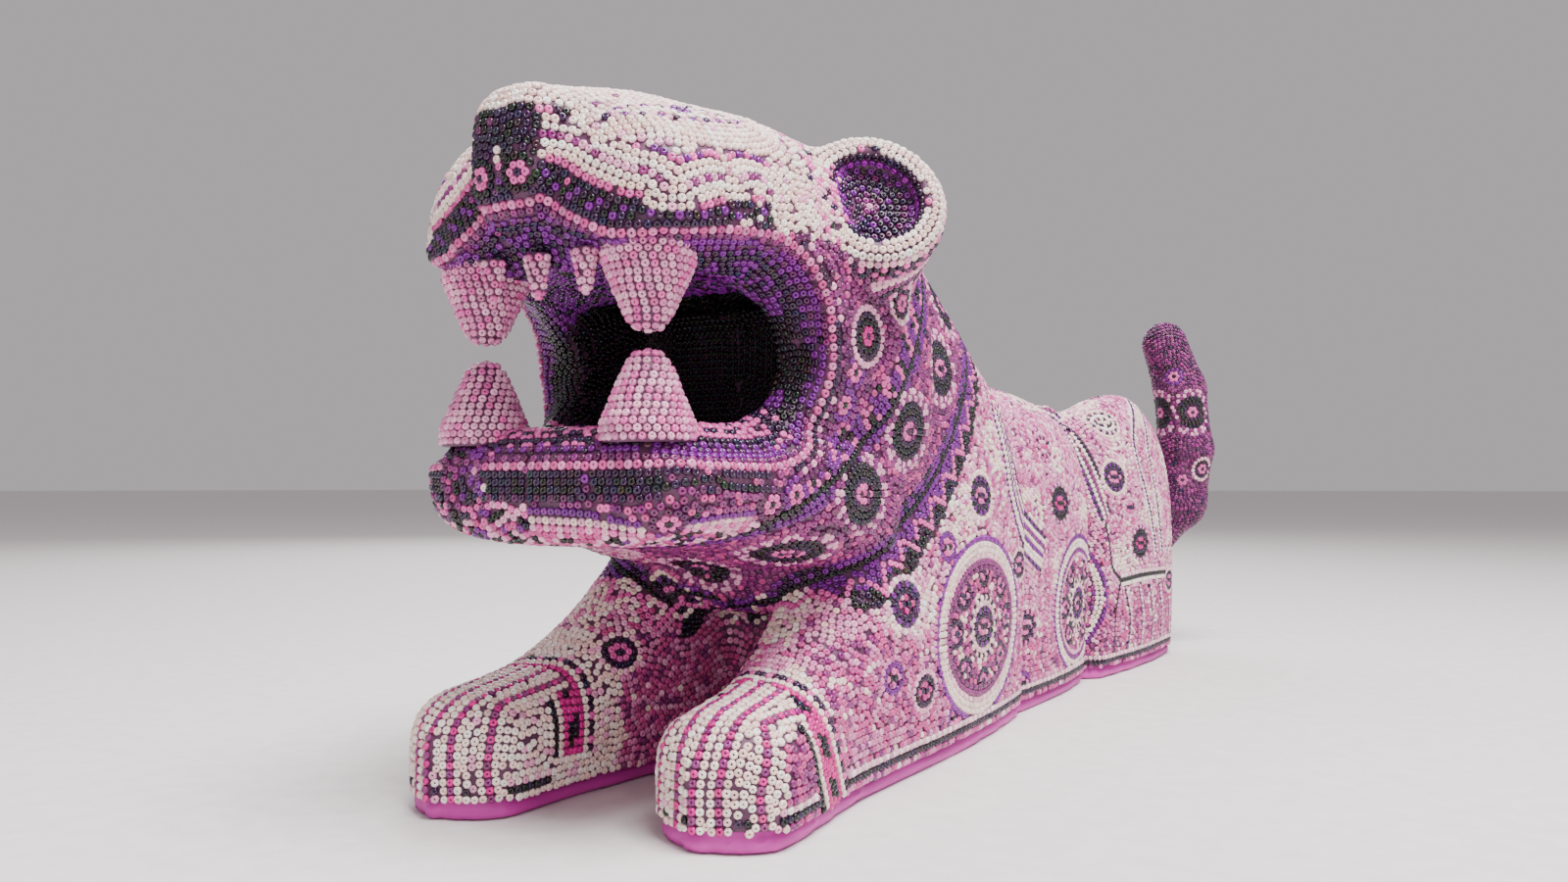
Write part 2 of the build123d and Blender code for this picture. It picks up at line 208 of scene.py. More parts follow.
def head_mass(p):
    """Head with the raised bridge of the snout, before the mouth is cut."""
    head = lofted(p, HEAD, 2.7, nose=14, tail=20)
    bridge = egg(p, (0, 30, 176), (21, 46, 21), 2.4)
    return soft_min(head, bridge, 10)


def jaw_mass(p):
    """Lower jaw, up to the gum, before the mouth is cut."""
    return lofted(p, JAW, 3.0, nose=9, tail=14)


def lip_inset(p):
    """Depth inside the outline of the lips, seen from above."""
    return -lofted(p, LIP_OUTLINE, 2.7, nose=16, tail=10)


def neck_mass(p):
    """The neck, from inside the head to the shoulders."""
    return lofted(p, NECK, 2.4, nose=20, tail=30)


def ear(p, side):
    """A short tube with an open cup in its face."""
    away = [p[0] - side * EAR[0], p[1] - EAR[1], p[2] - EAR[2]]
    along = side * away[0] * EAR_WAY[0] + away[1] * EAR_WAY[1] + away[2] * EAR_WAY[2]
    radius = np.sqrt(np.maximum(away[0] ** 2 + away[1] ** 2 + away[2] ** 2 - along * along, 0))
    tube = soft_max(radius - EAR_RADIUS - 0.06 * along, np.maximum(along, -along - EAR_LENGTH), 5.0)
    cup = soft_max(radius - CUP_RADIUS, -along - CUP_DEPTH, 3.0)
    return soft_max(tube, -cup, 2.0)


def masses(p):
    """Every block's own form, by name."""
    x, y, z = p
    found = {
        "head": head_mass(p),
        "lower_jaw": jaw_mass(p),
        "neck": neck_mass(p),
        "trunk": lofted(p, TRUNK, 2.6, nose=18, tail=16),
        "nose": egg(p, NOSE, NOSE_HALF, 3.2),
        "tail": chain(p, TAIL, TAIL_RADII),
    }
    for name, side in (("left", 1), ("right", -1)):
        ahead = y + lead(y) if side < 0 else y
        found[name + "_foreleg"] = lofted((x * side, ahead, z), FORELEG, 2.5, nose=15, tail=14)
        found[name + "_flank"] = lofted((x * side, y, z), FLANK, 2.6, nose=14, tail=14)
        found[name + "_haunch"] = lofted((x * side, y, z), HAUNCH, 2.5, nose=14, tail=15)
        found[name + "_ear"] = ear(p, side)
    return found


def mouth(p, inset):
    """The open mouth: a slot through cheeks and front, then the throat. inset is the depth in the head."""
    x, y, z = p
    (rise, spread), (dip, aside, width) = LIP_ARCH, LIP_HANG
    wave = rise * np.exp(-(x / spread) ** 2) - dip * np.exp(-((np.abs(x) - aside) / width) ** 2)
    top = LIP_HIGH + smooth((12 - y) / 18) * wave
    floor = LIP_LOW + (FLOOR - LIP_LOW) * smooth(inset / LOWER_GUM)
    roof = top + (ROOF - top) * smooth(inset / UPPER_GUM)
    centre = (floor + roof) / 2
    beyond_y = y - (MOUTH_BACK - MOUTH_ROUND)
    beyond_z = np.abs(z - centre) - ((roof - floor) / 2 - MOUTH_ROUND)
    corner = np.hypot(np.maximum(beyond_y, 0), np.maximum(beyond_z, 0))
    slot = corner + np.minimum(np.maximum(beyond_y, beyond_z), 0) - MOUTH_ROUND
    (half_x, back, half_z), middle, round_off = THROAT
    reach = [np.abs(x) - half_x, y - back, np.abs(z - middle) - half_z]
    outside = np.sqrt(sum(np.maximum(q, 0) ** 2 for q in reach))
    throat = outside + np.minimum(np.maximum(np.maximum(reach[0], reach[1]), reach[2]), 0) - round_off
    return soft_min(slot, throat, 4)


def skin(p):
    """The whole animal's surface."""
    part = masses(p)
    face = soft_min(soft_min(part["head"], part["neck"], 12), part["lower_jaw"], 5)
    body = part["trunk"]
    for side in ("left", "right"):
        row = soft_min(part[side + "_foreleg"], part[side + "_flank"], 3.5)
        row = soft_min(row, part[side + "_haunch"], 3.5)
        body = soft_min(body, row, 9)
    solid = soft_min(soft_min(face, body, 7), part["tail"], 7)
    solid = soft_max(solid, -mouth(p, lip_inset(p)), 2.5)
    solid = soft_min(solid, part["nose"], 5)
    for side in ("left", "right"):
        solid = soft_min(solid, part[side + "_ear"], 5)
    return soft_max(solid, -p[2], 0.5)


LOW = np.array([-84.0, -30.0, -CELL * 1.5])
HIGH = np.array([84.0, 488.0, 206.0])
COUNT = np.ceil((HIGH - LOW) / CELL).astype(int) + 1
AXES = [LOW[k] + CELL * np.arange(COUNT[k]) for k in range(3)]
GRID = (AXES[0][:, None, None], AXES[1][None, :, None], AXES[2][None, None, :])
FIELD = skin(GRID)


def sample(points):
    """The skin's field at points, between the grid's own values."""
    at = np.clip((points - LOW) / CELL, 0, COUNT - 1.001)
    cell = at.astype(int)
    t = at - cell
    value = 0
    for i, j, k in np.ndindex(2, 2, 2):
        share = np.abs(1 - i - t[:, 0]) * np.abs(1 - j - t[:, 1]) * np.abs(1 - k - t[:, 2])
        value = value + share * FIELD[cell[:, 0] + i, cell[:, 1] + j, cell[:, 2] + k]
    return value


def slope(points):
    """Outward direction of the field at points."""
    step = 0.9
    grade = np.empty_like(points)
    for k in range(3):
        nudge = np.zeros(3)
        nudge[k] = step
        grade[:, k] = (sample(points + nudge) - sample(points - nudge)) / (2 * step)
    return grade


def settle(points, rounds=5):
    """Moves points onto the skin, and gives them with the outward normals."""
    points = np.array(points, float)
    for _ in range(rounds):
        grade = slope(points)
        size = np.maximum((grade ** 2).sum(1), 0.05)
        points = points - grade * (np.clip(sample(points), -4, 4) / size)[:, None]
    grade = slope(points)
    return points, grade / np.maximum(np.linalg.norm(grade, axis=1), 1e-6)[:, None]


def nets(field):
    """The surface where a field on the grid is zero, as points and quads."""
    inside = field < 0
    corners = np.array(list(np.ndindex(2, 2, 2)))
    part = [inside[i:COUNT[0] - 1 + i, j:COUNT[1] - 1 + j, k:COUNT[2] - 1 + k] for i, j, k in corners]
    full = sum(q.astype(np.int8) for q in part)
    cells = np.argwhere((full > 0) & (full < 8))
    number = -np.ones(full.shape, int)
    number[tuple(cells.T)] = np.arange(len(cells))
    total = np.zeros((len(cells), 3))
    hits = np.zeros(len(cells))
    values = [field[tuple((cells + c).T)] for c in corners]
    edges = [(a, b) for a in range(8) for b in range(a + 1, 8) if np.abs(corners[a] - corners[b]).sum() == 1]
    for a, b in edges:
        crosses = (values[a] < 0) != (values[b] < 0)
        t = np.where(crosses, values[a] / np.where(crosses, values[a] - values[b], 1), 0)
        total += crosses[:, None] * (corners[a] + t[:, None] * (corners[b] - corners[a]))
        hits += crosses
    verts = LOW + CELL * (cells + total / hits[:, None])
    quads = []
    for axis, u, v in ((0, 1, 2), (1, 2, 0), (2, 0, 1)):
        change = np.argwhere(np.diff(inside, axis=axis))
        ring = []
        for du, dv in ((1, 1), (0, 1), (0, 0), (1, 0)):
            cell = change.copy()
            cell[:, u] -= du
            cell[:, v] -= dv
            ring.append(number[tuple(cell.T)])
        quad = np.stack(ring, 1)
        back = ~inside[tuple(change.T)]
        quad[back] = quad[back][:, ::-1]
        quads.append(quad)
    return verts, np.concatenate(quads)


# ---------------------------------------------------------------- colours of the beads

COLOURS = {
    "white": (255, 236, 226), "cream": (252, 216, 206), "pale": (238, 168, 200), "pink": (228, 100, 172),
    "hot": (208, 36, 136), "mauve": (136, 50, 114), "dusk": (90, 26, 80), "violet": (112, 8, 128),
    "bright": (150, 18, 160), "plum": (48, 6, 56), "black": (12, 4, 16), "rose": (200, 78, 142),
    "blush": (218, 128, 176),
}
NAMES = list(COLOURS)
PALETTE = np.array([[(c / 255) ** 2.2 for c in COLOURS[name]] for name in NAMES])


def code(name):
    """A colour's place in the palette."""
    return NAMES.index(name)


def mixed(count, recipe):
    """Colours drawn at random. A recipe is names, each with its share after it."""
    words = recipe.split()
    shares = np.array(words[1::2], float)
    return CHANCE.choice([code(name) for name in words[::2]], count, p=shares / shares.sum())


# ---------------------------------------------------------------- motifs

class Beads:
    """Beads placed so far, first come first served. An echo colours the rows that follow round a motif."""

    def __init__(self):
        self.places = []
        self.colours = []
        self.sizes = []
        self.echoes = []
        self.echo_rows = [()]

    def add(self, places, colours, size=1.0, echo=()):
        places = np.asarray(places, float).reshape(-1, 3)
        if np.isscalar(colours):
            colours = np.full(len(places), colours)
        if echo not in self.echo_rows:
            self.echo_rows.append(echo)
        self.places.append(places)
        self.colours.append(np.asarray(colours))
        self.sizes.append(np.full(len(places), size))
        self.echoes.append(np.full(len(places), self.echo_rows.index(echo)))

    def all(self):
        """Places, colours, sizes and echoes of the beads that lie on the skin."""
        lists = [np.concatenate(part) for part in (self.places, self.colours, self.sizes, self.echoes)]
        on_skin = (np.abs(sample(lists[0])) < 0.6) & (lists[0][:, 2] > BARE)
        return [part[on_skin] for part in lists]


motifs = Beads()


def to_side(points, side):
    """The points on the left side, or their mirror image on the right, which follows that foreleg's lead."""
    points = np.array(points, float)
    if side > 0:
        return points
    low = smooth((110 - points[:, 2]) / 40)
    points[:, 1] -= lead(points[:, 1]) * low * (points[:, 1] < SHOULDER_END)
    points[:, 0] *= -1
    return points


def lengths(path):
    """Distance along a path at each of its points."""
    return np.concatenate([[0], np.cumsum(np.linalg.norm(np.diff(path, axis=0), axis=1))])


def read_off(marks, run, path):
    """Points of a path at so much distance along it."""
    return np.stack([np.interp(marks, run, path[:, k]) for k in range(3)], 1)


def evenly(path, gap, closed=False, least=1):
    """Points along a path with an even gap near the one asked for, and at least so many gaps."""
    if closed:
        path = np.vstack([path, path[:1]])
    run = lengths(path)
    count = max(round(run[-1] / gap), least)
    marks = np.linspace(0, run[-1], count + 1)
    return read_off(marks[:-1] if closed else marks, run, path)


def curve(points, closed=False):
    """A smooth path through the points, on the skin, and the way to its left at each of its points."""
    points = np.array(points, float)
    if closed:
        points = np.vstack([points[-2:], points, points[:3]])
    run = lengths(points)
    ends = (run[2], run[-3]) if closed else (0, run[-1])
    marks = np.arange(ends[0], ends[1], 0.8)
    dense = np.stack([profile(marks, run, points[:, k]) for k in range(3)], 1)
    dense, normal = settle(dense)
    along = np.roll(dense, -1, 0) - np.roll(dense, 1, 0)
    if not closed:
        along[0] = dense[1] - dense[0]
        along[-1] = dense[-1] - dense[-2]
    beside = np.cross(normal, along)
    beside /= np.maximum(np.linalg.norm(beside, axis=1), 1e-6)[:, None]
    return dense, beside


def pattern(colours, count):
    """A repeating run of colour names, such as 'plum plum black', along a row."""
    words = colours.split()
    return np.array([code(words[i % len(words)]) for i in range(count)])


def strip(points, rows, closed=False, size=1.0, echo=()):
    """Rows of beads along a path. rows gives colours by the row's number, negative to the path's right."""
    dense, beside = curve(points, closed)
    for number, colours in rows.items():
        shifted = settle(dense + beside * (number * ROW))[0] if number else dense
        places = evenly(shifted, PITCH * size, closed)
        last = echo and number == max(rows, key=abs)
        motifs.add(places, pattern(colours, len(places)), size, echo if last else ())


def both(points, rows, size=1.0, echo=()):
    """The same strip on both sides. The mirror image swaps a path's left and right."""
    strip(to_side(points, 1), rows, size=size, echo=echo)
    strip(to_side(points, -1), {-number: colours for number, colours in rows.items()}, size=size, echo=echo)


def tangents(normal, up=(0, 0, 1)):
    """Two directions along the skin: across and up."""
    across = np.cross(up, normal)
    if np.linalg.norm(across) < 0.2:
        across = np.cross((0, -1, 0), normal)
    across /= np.linalg.norm(across)
    return across, np.cross(normal, across)


def ellipse(centre, across, up, wide, tall, steps):
    """A closed path round a centre, in the plane of two directions."""
    turn = np.linspace(0, 2 * math.pi, steps, endpoint=False)
    return centre + np.outer(wide * np.cos(turn), across) + np.outer(tall * np.sin(turn), up)


def ring(path, colours, least=1):
    """A closed row of beads."""
    places = evenly(settle(path)[0], PITCH, True, least)
    motifs.add(settle(places)[0], pattern(colours, len(places)))


def rosette(centre, rings, wide=0.0):
    """A flower of rings round a middle bead or a short row of them. rings are colour runs, middle first."""
    middle, normal = settle([centre])
    across, up = tangents(normal[0])
    core = np.linspace(-wide, wide, int(2 * wide / PITCH) + 1) if wide > PITCH / 2 else np.zeros(1)
    first, *others = rings.split(", ")
    motifs.add(settle(middle + core[:, None] * across)[0], code(first))
    for k, colours in enumerate(others, 1):
        ring(ellipse(middle[0], across, up, k * ROW + wide, k * ROW, 90), colours, 5)


def rosettes(centre, rings, wide=0.0):
    """The same flower on both sides."""
    for side in (1, -1):
        rosette(to_side([centre], side)[0], rings, wide)


def oval(centre, wide, tall, rings):
    """Concentric oval rows, from the outermost in."""
    middle, normal = settle([centre])
    across, up = tangents(normal[0])
    for k, colours in enumerate(rings.split(", ")):
        ring(ellipse(middle[0], across, up, wide - k * ROW, tall - k * ROW, 200), colours)


SMALL = "plum, pink, plum, pale cream"
TINY = "black, pink, violet"
BODY = "plum, pink, plum, black violet, cream"
DARK = "black, hot, plum, black, mauve pale"
OVALS = [((52, 161, 41), 42, 31), ((46, 290, 38), 35, 30)]
LARGE = "plum, pink, plum, black, black plum, mauve pale, pale pale mauve"


def lips():
    """The row of larger beads along the lips, and the bands that follow the muzzle and the jaw."""
    upper = [(0, -20, 160), (13, -19, 159.5), (22, -17, 154), (31, -13, 151), (41, -5, 151), (48, 10, 154),
             (51, 24, 155)]
    middle, half = (LIP_LOW + LIP_HIGH) / 2, (LIP_HIGH - LIP_LOW) / 2
    corner = []
    for turn in np.radians((70, 45, 20, 0, -20, -45, -70)):
        rise = half - MOUTH_ROUND + MOUTH_ROUND * abs(math.sin(turn))
        back = MOUTH_BACK - MOUTH_ROUND * (1 - math.cos(turn)) + 1
        corner.append((54, back, middle + np.sign(turn) * rise))
    lower = [(x, y, LIP_LOW) for x, y in ((51, 24), (48, 10), (44, -1), (34, -8), (18, -11), (0, -11))]
    whole = upper + corner + lower
    both(whole, {0: "rose blush"}, size=1.12)
    both(upper, {1: "plum", 2: "black violet plum", 3: "violet plum black", 4: "plum black plum",
                 5: "pink rose"},
         echo=("cream", "white", "mauve pale", "white", "cream", "pink violet", "white", "cream",
               "pale mauve", "white"))
    both(whole, {-1: "dusk mauve", -2: "violet", -3: "violet dusk", -4: "plum violet", -5: "plum"})
    both(corner, {1: "plum", 2: "mauve pale", 3: "dusk"})
    both(lower, {1: "plum", 2: "black plum", 3: "plum plum black black", 4: "dusk plum"})
    both(lower, {-3: "bright", -4: "pink pale", -5: "pink pink plum", -6: "pink", -7: "pink plum plum"})


def ears():
    """Rings round each ear, from the middle of the cup out over the rim and down the tube."""
    rows = [(0.0, -CUP_DEPTH, "pale"), (2.1, -CUP_DEPTH, "mauve dusk"), (4.2, -CUP_DEPTH, "plum dusk"),
            (6.4, -CUP_DEPTH, "plum violet"), (8.5, -CUP_DEPTH, "plum"), (10.6, -CUP_DEPTH, "dusk plum"),
            (12.7, -CUP_DEPTH + 0.6, "violet plum"), (14.2, -3.4, "bright violet"), (14.6, -1.2, "plum"),
            (16.2, 0, "white"), (18.3, 0, "cream"), (20.4, -0.9, "white"), (22, -2.6, "cream pale"),
            (22, -4.8, "plum pink plum"), (22, -7, "pink black plum"), (22, -9.2, "plum pink mauve"),
            (22, -11.4, "pale"), (22, -13.6, "cream pale"), (22, -15.8, "mauve"), (22, -18, "plum"),
            (22, -20.2, "pink pale plum")]
    for side in (1, -1):
        centre = EAR * (side, 1, 1)
        way = EAR_WAY * (side, 1, 1)
        across, up = tangents(way)
        for radius, along, colours in rows:
            if radius == 0:
                motifs.add(settle([centre + way * along])[0], code(colours))
                continue
            path = ellipse(centre + way * along, across, up, radius, radius, 120)
            places = settle(evenly(path, PITCH, True, 6))[0]
            keep = (skin_without_ears(places.T) > 0.5) | (radius <= CUP_RADIUS)
            motifs.add(places[keep], pattern(colours, len(places))[keep])


def skin_without_ears(p):
    """How far points are from the head itself, for the ears' rows to stop there."""
    return soft_min(head_mass(p), neck_mass(p), 12)


UPPER_LINE = [(0, 16, 75), (24, 18, 76), (38, 24, 78), (49, 34, 83), (53, 52, 92), (54, 75, 106),
              (57, 91, 125), (55, 107, 150), (40, 117, 178), (18, 121, 191), (0, 122, 194)]
LOWER_LINE = [(0, 78, 52), (16, 76, 55), (38, 80, 63), (48, 92, 72), (50, 118, 90), (51, 139, 110),
              (48, 156, 130), (36, 168, 149), (18, 174, 158), (0, 176, 160)]
ZIGZAG_SHIFT = 7.5     # from the lower line to the middle of the zigzag
ZIGZAG_WIDE = 14       # from the lower line to the end of the zigzag's dark ground


def zigzag(points, shift, swing, stride):
    """A path that swings either side of a line."""
    dense, beside = curve(points)
    run = lengths(dense)
    turns = np.arange(0, run[-1], stride / 2)
    swing = np.where(np.arange(len(turns)) % 2 == 0, swing, -swing)
    corners = read_off(turns, run, dense) + read_off(turns, run, beside) * (shift + swing)[:, None]
    return evenly(settle(corners)[0], PITCH)


def collar():
    """The neck: two black lines with large flowers between them, then a zigzag."""
    for side in (1, -1):
        strip(to_side(UPPER_LINE, side), {0: "black"})
        strip(to_side(LOWER_LINE, side), {0: "black"})
        zig = zigzag(to_side(LOWER_LINE, side), -side * ZIGZAG_SHIFT, 4.2, 11.5)
        motifs.add(settle(zig)[0], pattern("pink", len(zig)))
    for centre in [(55, 96, 107), (54, 68, 88), (38, 53, 72), (51, 126, 129), (42, 143, 152), (20, 151, 172)]:
        rosettes(centre, LARGE, 2.0)
    rosette((5, 58, 62), LARGE)


def cheeks():
    """Flowers behind the mouth and along the jaw."""
    spots = [((56, 67, 133), "plum, hot, black, plum, pale"), ((57, 86, 145), SMALL),
             ((53, 52, 100), TINY), ((55, 60, 112), "black, pink, violet"), ((52, 43, 91), TINY),
             ((48, 27, 86), "black, pink, dusk"), ((36, -1, 85), "black, pink, dusk"),
             ((51, 36, 88), TINY), ((56, 78, 158), SMALL), ((56, 62, 122), TINY), ((57, 92, 160), TINY)]
    for centre, rings in spots:
        rosettes(centre, rings)
    chin = [(0, -8, 80), (18, -7, 80), (32, -2, 80), (43, 10, 78), (47, 24, 79)]
    both(chin, {0: "pale pink", 1: "cream pale", 2: "violet", 3: "black black black pink"})


def snout():
    """The nose with its two flower nostrils, and the almond round each eye."""
    for side in (1, -1):
        rosette((side * 6.6, -23, 167), "plum, pink, black")
        eye = np.array([(23, -9, 183), (29, -4, 184), (34, 6, 184), (37, 18, 185),
                        (36, 29, 187), (31, 22, 190), (27, 10, 190), (24, 0, 188)], float)
        strip(eye * (side, 1, 1), {0: "plum pale violet pale"}, closed=True)
        rosette((side * 31, 12, 189), "black, violet, white")


def shoulder():
    """The large ovals on the shoulder and the flank, with their flowers."""
    bands = ("violet bright, cream white, white cream, pale cream, mauve, dusk mauve",
             "violet, cream white, white cream, mauve violet, pale")
    around = ([(-19, 12), (19, 13), (-18, -13), (19, -12), (0, 19), (0, -19), (-26, 0), (26, 1)],
              [(-13, 13), (13, 14), (-14, -12), (13, -12), (-20, 0), (20, 0)])
    for (centre, wide, tall), rings, steps in zip(OVALS, bands, around):
        for side in (1, -1):
            middle = to_side([centre], side)[0]
            oval(middle, wide, tall, rings)
            rosette(middle, "plum, pink, plum, black violet, cream pale, plum cream", 3.0)
            for dy, dz in steps:
                rosette(middle + (0, dy, dz), "plum, pink, plum", 1.2)


def flowers():
    """Flowers over the body, the legs and the tail."""
    spots = [((51, 161, 87), BODY), ((45, 263, 83), DARK), ((42, 252, 107), "hot, pale, pink plum"),
             ((48, 338, 95), BODY), ((50, 353, 80), "plum, pink, pale"), ((51, 366, 62), DARK),
             ((52, 98, 54), "plum, hot, plum, violet plum, white pale"),
             ((53, 110, 26), "plum, hot, plum, pale"), ((50, 206, 60), SMALL),
             ((45, 222, 34), "plum, pink, plum, plum pink"), ((42, 220, 12), TINY),
             ((40, 345, 122), "cream, plum cream, white, plum pale, cream"),
             ((38, 190, 122), "hot, cream, mauve pale"), ((53, 88, 33), TINY), ((50, 129, 70), TINY),
             ((53, 136, 14), TINY), ((20, 215, 136), BODY), ((18, 262, 135), SMALL), ((20, 320, 128), BODY),
             ((22, 380, 137), DARK), ((30, 440, 100), SMALL), ((46, 438, 70), BODY), ((26, 446, 40), DARK),
             ((52, 420, 40), SMALL), ((8, 447, 100), TINY), ((20, 60, 40), SMALL), ((24, 88, 58), BODY)]
    for centre, rings in spots:
        rosettes(centre, rings, float(np.clip(centre[1] / 60, 0, 4)))
    for y in (196, 240, 290, 345, 400):
        rosette((0, y, 136), BODY)
    for centre, rings in (((58, 452, 132), LARGE), ((38, 450, 132), LARGE), ((62, 458, 100), SMALL),
                          ((52, 452, 94), "plum, pink"), ((49, 449, 152), TINY), ((36, 462, 118), SMALL),
                          ((50, 480, 110), SMALL), ((44, 474, 140), LARGE)):
        rosette(centre, rings)


def seams():
    """Cream and violet lines that sweep down the sides between the ovals and over the haunch."""
    wave = [(38, 186, 128), (46, 186, 116), (48, 190, 104), (49, 194, 89), (48, 204, 74), (46, 222, 62),
            (46, 236, 56)]
    both(wave, {0: "violet plum", 1: "white cream", 2: "cream white", 3: "violet", 4: "cream",
                5: "mauve violet", 6: "white cream", 7: "violet plum"})
    sweep = [(22, 300, 126), (30, 312, 114), (37, 314, 102), (42, 317, 88), (45, 322, 74)]
    both(sweep, {0: "plum violet", 1: "white", 2: "mauve", 3: "cream white", 4: "plum"})
    contour = [(46, 322, 76), (47, 327, 62), (47, 330, 52), (48, 340, 45)]
    both(contour, {0: "black"})
    both([(48, 340, 45), (42, 334, 26), (40, 334, 8)], {0: "black plum"})
    both([(48, 340, 45), (51, 370, 46), (52, 412, 45), (44, 440, 44)],
         {0: "black", 1: "pale white", -1: "white"})
    bars = [[(38, 392, 134), (48, 368, 108), (52, 384, 74), (52, 392, 56)],
            [(40, 402, 132), (50, 388, 106), (52, 398, 74), (52, 404, 56)]]
    for bar in bars:
        both(bar, {0: "plum violet", 1: "white pale", -1: "white"})
    for k in range(5):
        fan = [(47 + k, 346 + 17 * k, 40), (49 + k * 0.6, 352 + 17 * k, 24), (50, 348 + 18 * k, 8)]
        both(fan, {0: "plum mauve", 1: "pale white"})


def paws():
    """Striped toes and the bracelet on each foreleg."""
    for start, rear in ((27, (24, 40, 36)), (33.2, (31, 40, 37.5)), (39.4, (38, 39, 38)),
                        (45.6, (45, 38, 37)), (51.8, (52, 35, 31))):
        front = 7 + 0.06 * (start - 39) ** 2
        stripe = [(start, front, 6), (start, front - 1, 14), (start + 0.5, front + 1, 23),
                  ((start + rear[0]) / 2, 21, 33), rear]
        both(stripe, {0: "hot mauve", 1: "cream white", -1: "white cream"})
    band = [(19, 46, 14), (22, 47, 32), (30, 46, 38.5), (38, 44, 39), (47, 44, 36), (54, 46, 28),
            (57, 52, 16), (57, 58, 7)]
    both(band, {0: "plum pink plum", -1: "white cream", -2: "hot", -3: "hot hot black plum black hot",
                -4: "hot black black black hot hot", -5: "hot", -6: "white cream", -7: "black"})


def base_rows():
    """The two lowest rows: a black one under a pale one."""
    path = np.array([(x, y, 8.0) for x, y in (
        (20, 30), (24, 9), (38, 4), (54, 10), (58, 30), (54, 80), (54, 130), (50, 200), (44, 226), (45, 270),
        (40, 314), (48, 350), (52, 400), (46, 442), (20, 447))])
    for side in (1, -1):
        strip(to_side(path, side), {0: "black plum"})
        strip(to_side(path + (0, 0, 2.2), side), {0: "pale white"})


for motif in (snout, lips, ears, collar, cheeks, paws, base_rows, shoulder, flowers, seams):
    motif()


# ---------------------------------------------------------------- filling between the motifs

class Crowd:
    """The beads that stand so far, in a grid of cells one pitch wide."""

    def __init__(self):
        self.cells = {}

    def fits(self, place, cell, limit):
        """Whether no bead in the cells around is within the squared limit."""
        for a in (cell[0] - 1, cell[0], cell[0] + 1):
            for b in (cell[1] - 1, cell[1], cell[1] + 1):
                for c in (cell[2] - 1, cell[2], cell[2] + 1):
                    for x, y, z in self.cells.get((a, b, c), ()):
                        if (x - place[0]) ** 2 + (y - place[1]) ** 2 + (z - place[2]) ** 2 < limit:
                            return False
        return True

    def settle_in(self, places, apart):
        """Takes the places that are free, in order, and says which it took."""
        taken = []
        for number, place in enumerate(places.tolist()):
            cell = tuple(math.floor(c / PITCH) for c in place)
            if self.fits(place, cell, (apart * PITCH) ** 2):
                self.cells.setdefault(cell, []).append(place)
                taken.append(number)
        return np.array(taken, int)


def nearest(places, targets):
    """Distance from each place to the nearest target, and which one that is."""
    tree = KDTree(len(targets))
    for number, target in enumerate(targets.tolist()):
        tree.insert(target, number)
    tree.balance()
    found = [tree.find(place) for place in places.tolist()]
    return np.array([f[2] for f in found]), np.array([f[1] for f in found])


def contours(verts, triangles, field, step):
    """Rows of places along the lines where the field is a whole number of steps."""
    values = field[triangles]
    lowest, highest = values.min(1), values.max(1)
    places, levels = [], []
    for level in range(1, int(field.max() / step) + 1):
        height = level * step
        hit = triangles[(lowest < height) & (highest >= height)]
        if not len(hit):
            continue
        edges, marks = [], []
        for a, b in ((0, 1), (1, 2), (2, 0)):
            pair = np.sort(hit[:, [a, b]], 1)
            first, second = field[pair[:, 0]], field[pair[:, 1]]
            crosses = (first < height) != (second < height)
            t = np.where(crosses, (height - first) / np.where(crosses, second - first, 1), 0)
            marks.append(verts[pair[:, 0]] + t[:, None] * (verts[pair[:, 1]] - verts[pair[:, 0]]))
            edges.append(np.where(crosses, pair[:, 0] * len(verts) + pair[:, 1], -1))
        edges, marks = np.stack(edges, 1), np.stack(marks, 1)
        place_of, links = {}, {}
        for keys, spots in zip(edges.tolist(), marks):
            ends = [(key, spot) for key, spot in zip(keys, spots) if key >= 0]
            if len(ends) != 2:
                continue
            for key, spot in ends:
                place_of[key] = spot
            links.setdefault(ends[0][0], []).append(ends[1][0])
            links.setdefault(ends[1][0], []).append(ends[0][0])
        found = walk(place_of, links)
        places += found
        levels += [np.full(len(row), level) for row in found]
    return np.concatenate(places), np.concatenate(levels)


def walk(place_of, links):
    """Follows linked crossings into paths, and spaces beads along them."""
    rows = []
    unseen = dict.fromkeys(sorted(links, key=lambda key: len(links[key])))
    while unseen:
        key = next(iter(unseen))
        path = []
        while key is not None and key in unseen:
            del unseen[key]
            path.append(place_of[key])
            key = next((other for other in links[key] if other in unseen), None)
        if len(path) > 2:
            rows.append(evenly(np.array(path), PITCH))
    return rows


def scattered(verts, triangles, count):
    """Places at random over the triangles."""
    a, b, c = (verts[triangles[:, k]] for k in range(3))
    area = np.linalg.norm(np.cross(b - a, c - a), axis=1)
    chosen = CHANCE.choice(len(triangles), count, p=area / area.sum())
    u, v = CHANCE.random((2, count, 1))
    over = u + v > 1
    u, v = np.where(over, 1 - u, u), np.where(over, 1 - v, v)
    return a[chosen] * (1 - u - v) + b[chosen] * u + c[chosen] * v


def beyond(points, line):
    """Signed distance past a line that both sides of the animal carry. Positive is away from the head."""
    found = []
    for side in (1, -1):
        dense, beside = curve(to_side(line, side))
        gap, which = nearest(points, dense)
        away = ((points - dense[which]) * beside[which]).sum(1) * -side
        found.append(np.where(away < 0, -gap, gap))
    return np.where(points[:, 0] >= 0, *found)


